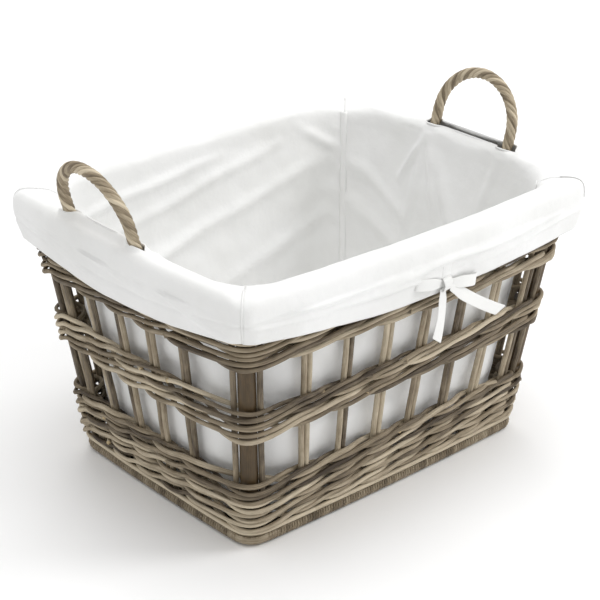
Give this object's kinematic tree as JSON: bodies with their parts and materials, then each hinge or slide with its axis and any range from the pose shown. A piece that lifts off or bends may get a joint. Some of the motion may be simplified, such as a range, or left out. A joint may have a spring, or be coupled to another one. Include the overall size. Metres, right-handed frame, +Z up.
{
  "type": "laundry basket woven",
  "caption": "Rectangular tapered laundry basket of woven rattan with fixed arch handles and a lift-out white cotton liner folded over the rim and tied with a ribbon bow.",
  "frame": {"origin": "centre of the underside, on the floor", "axes": "+X along the long side, -Y the front with the ribbon bow, +Z up"},
  "size_m": [0.5526, 0.4245, 0.4044],
  "materials": {
    "grey_rattan": "weathered grey-brown kubu rattan, matt with a faint sheen along the rods",
    "stake_cane": "smooth peeled cane, matt grey-brown",
    "brown_cane": "thick brown cane with lengthwise streaks",
    "handle_cane": "twisted rattan, matt grey-brown",
    "base_cane": "split cane binding, matt brown",
    "cotton_liner": "plain-woven white cotton, soft and slightly creased",
    "cotton_binding": "folded white cotton tape, stitched",
    "satin_ribbon": "white woven ribbon with a soft sheen"
  },
  "bodies": {
    "basket": {"base_binding": "base_cane", "base_hoop": "base_cane", "base_mat": "base_cane", "base_sticks": "base_cane", "corner_canes_back_left": "stake_cane", "corner_canes_back_right": "stake_cane", "corner_canes_front_left": "stake_cane", "corner_canes_front_right": "stake_cane", "corner_post_back_left": "brown_cane", "corner_post_back_right": "brown_cane", "corner_post_front_left": "brown_cane", "corner_post_front_right": "brown_cane", "handle_left_core": "handle_cane", "handle_left_twist": "handle_cane", "handle_right_core": "handle_cane", "handle_right_twist": "handle_cane", "lower_row_1": "grey_rattan", "lower_row_2": "grey_rattan", "lower_row_3": "grey_rattan", "lower_row_4": "grey_rattan", "lower_row_5": "grey_rattan", "middle_row_1": "grey_rattan", "middle_row_2": "grey_rattan", "rim_border": "grey_rattan", "stakes_back": "stake_cane", "stakes_front": "stake_cane", "stakes_left": "stake_cane", "stakes_right": "stake_cane", "upper_row_1": "grey_rattan", "upper_row_2": "grey_rattan", "upper_row_3": "grey_rattan", "upper_row_4": "grey_rattan"},
    "liner": {"liner_corner_tapes": "cotton_binding", "liner_floor": "cotton_liner", "liner_wall_back": "cotton_liner", "liner_wall_front": "cotton_liner", "liner_wall_left": "cotton_liner", "liner_wall_right": "cotton_liner", "ribbon_knot": "satin_ribbon", "ribbon_loop_left": "satin_ribbon", "ribbon_loop_right": "satin_ribbon", "ribbon_tail_left": "satin_ribbon", "ribbon_tail_right": "satin_ribbon", "slot_hem_left": "cotton_binding", "slot_hem_right": "cotton_binding", "turnover_back": "cotton_liner", "turnover_front": "cotton_liner", "turnover_left": "cotton_liner", "turnover_right": "cotton_liner"}
  },
  "joints": [
    {"name": "liner_lift", "type": "slide", "parent": "basket", "child": "liner", "axis": [0, 0, 1], "range_m": [0, 0.42], "deforming": ["turnover_left", "turnover_right", "slot_hem_left", "slot_hem_right"]}
  ]
}
